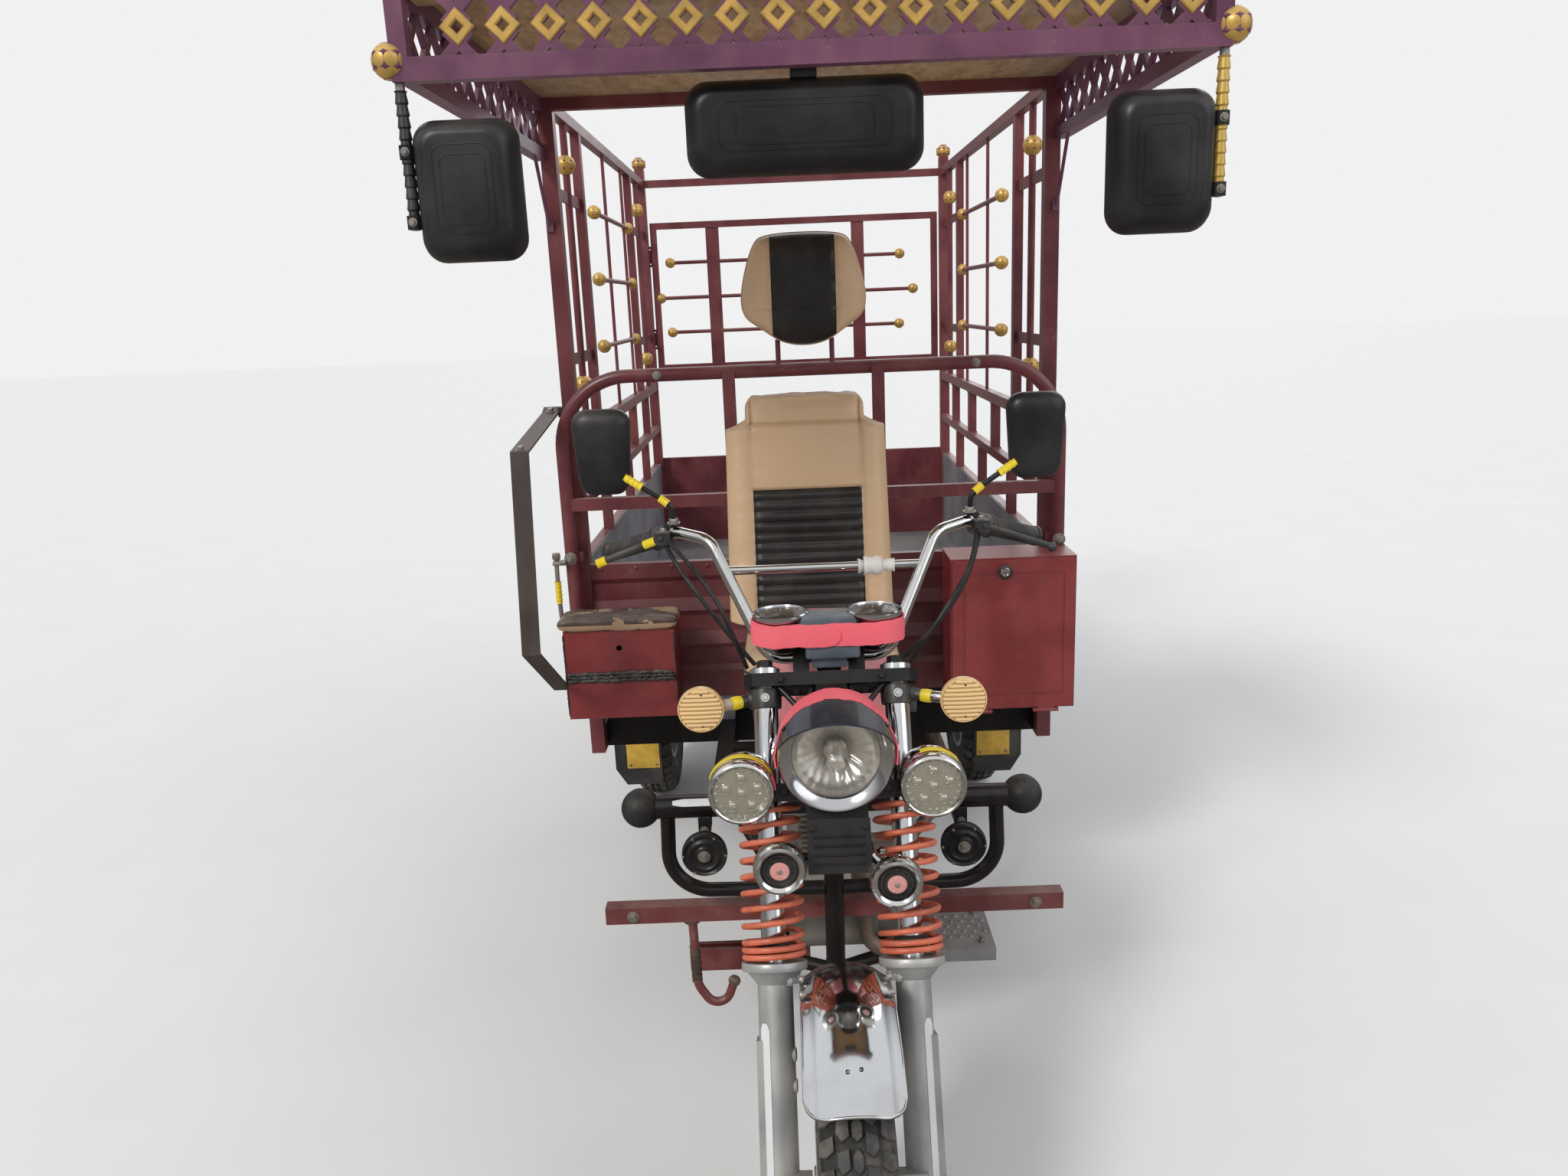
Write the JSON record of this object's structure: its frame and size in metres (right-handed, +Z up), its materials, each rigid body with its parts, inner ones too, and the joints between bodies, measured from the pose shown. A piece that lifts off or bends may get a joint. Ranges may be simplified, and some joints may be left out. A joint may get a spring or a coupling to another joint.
{
  "type": "cargo motor tricycle",
  "caption": "Three-wheeled cargo motorcycle with a canopy over the rider, a sprung fork, toolboxes and a caged steel load bed with a hinged tailgate.",
  "frame": {"origin": "on the ground below the middle of the vehicle", "axes": "+Z up, -Y forward, +X to the right of someone who stands in front and looks at it"},
  "size_m": [1.2933, 3.515, 2.1604],
  "materials": {
    "frame_black": "semi-gloss black paint",
    "engine_alloy": "cast, sooty",
    "exhaust_steel": "heat-stained",
    "axle_iron": "dusty",
    "spring_leaf": "rusty",
    "tyre_rubber": "dusty",
    "rim_silver": "silver paint",
    "yoke_black": "gloss black",
    "tube_chrome": "bright",
    "spring_orange": "faded orange paint",
    "slider_alloy": "cast",
    "chrome": "bright",
    "lamp_glass": "fluted",
    "signal_amber": "ribbed",
    "black_plastic": "worn",
    "grip_rubber": "ribbed",
    "cable_black": "satin",
    "body_red": "dark red, worn",
    "seat_beige": "sewn",
    "pad_leather": "sewn",
    "rail_steel": "dark, worn",
    "box_red": "worn",
    "box_blue": "worn",
    "liner_galvanised": "galvanised",
    "canopy_purple": "worn",
    "plywood": "plain board",
    "mirror_shell": "dusty",
    "lamp_red": "ribbed",
    "flap_rubber": "dusty"
  },
  "bodies": {
    "chassis": {"backrest": "pad_leather", "bed_floor": "liner_galvanised", "bed_front": "body_red", "bed_sides": "body_red", "cage_cross_rails": "body_red", "cage_left": "body_red", "cage_right": "body_red", "canopy_frame": "canopy_purple", "canopy_mirrors": "mirror_shell", "canopy_roof": "plywood", "crash_bar": "body_red", "engine": "engine_alloy", "exhaust": "exhaust_steel", "foot_bars": "rail_steel", "footboard": "rail_steel", "frame_front": "frame_black", "frame_main": "frame_black", "fuel_tank": "body_red", "handrail": "rail_steel", "headrest": "pad_leather", "horns": "chrome", "leaf_springs": "spring_leaf", "mud_flaps": "flap_rubber", "rear_axle": "axle_iron", "rear_mudguards": "body_red", "seat_base": "frame_black", "seat_cushion": "seat_beige", "seat_hoop": "body_red", "tail_lamps": "lamp_red", "toolbox_large": "box_blue", "toolbox_small": "box_red"},
    "steering": {"fork_yokes": "yoke_black", "fork_tubes": "tube_chrome", "fork_springs": "spring_orange", "fork_sliders": "slider_alloy", "front_mudguard": "chrome", "headlight": "chrome", "headlight_glass": "lamp_glass", "fork_lamps": "chrome", "turn_signals": "signal_amber", "gauges": "black_plastic", "handlebar": "chrome", "grips_levers": "grip_rubber", "bar_mirrors": "black_plastic", "cable_clutch": "cable_black", "cable_choke": "cable_black", "cable_throttle": "cable_black", "cable_brake": "cable_black"},
    "front_wheel": {"tyre_front": "tyre_rubber", "rim_front": "rim_silver"},
    "rear_wheel_left": {"tyre_rear_left": "tyre_rubber", "rim_rear_left": "rim_silver"},
    "rear_wheel_right": {"tyre_rear_right": "tyre_rubber", "rim_rear_right": "rim_silver"},
    "small_box_lid": {"toolbox_small_lid": "pad_leather"},
    "large_box_door": {"toolbox_large_door": "box_blue"},
    "tailgate": {"tailgate": "body_red"},
    "rear_gate": {"rear_gate": "body_red"}
  },
  "joints": [
    {"name": "steering_turn", "type": "hinge", "parent": "chassis", "child": "steering", "pos_m": [0, -1.43156, 0.25651], "axis": [0, 0.4384, 0.8988], "range_deg": [-40, 40]},
    {"name": "front_wheel_spin", "type": "hinge", "parent": "steering", "child": "front_wheel", "pos_m": [0, -1.49, 0.285], "axis": [1, 0, 0], "continuous": true},
    {"name": "rear_wheel_left_spin", "type": "hinge", "parent": "chassis", "child": "rear_wheel_left", "pos_m": [-0.53, 0.7, 0.285], "axis": [1, 0, 0], "continuous": true},
    {"name": "rear_wheel_right_spin", "type": "hinge", "parent": "chassis", "child": "rear_wheel_right", "pos_m": [0.53, 0.7, 0.285], "axis": [1, 0, 0], "continuous": true},
    {"name": "small_box_lid_hinge", "type": "hinge", "parent": "chassis", "child": "small_box_lid", "pos_m": [-0.4785, -0.246, 0.867], "axis": [-1, 0, 0], "range_deg": [0, 85]},
    {"name": "large_box_door_hinge", "type": "hinge", "parent": "chassis", "child": "large_box_door", "pos_m": [0.4635, -0.35, 0.62], "axis": [1, 0, 0], "range_deg": [0, 95]},
    {"name": "tailgate_hinge", "type": "hinge", "parent": "chassis", "child": "tailgate", "pos_m": [0, 1.694, 0.618], "axis": [-1, 0, 0], "range_deg": [0, 95]},
    {"name": "rear_gate_hinge", "type": "hinge", "parent": "chassis", "child": "rear_gate", "pos_m": [-0.558, 1.692, 1.638], "axis": [0, 0, 1], "range_deg": [0, 110]}
  ]
}
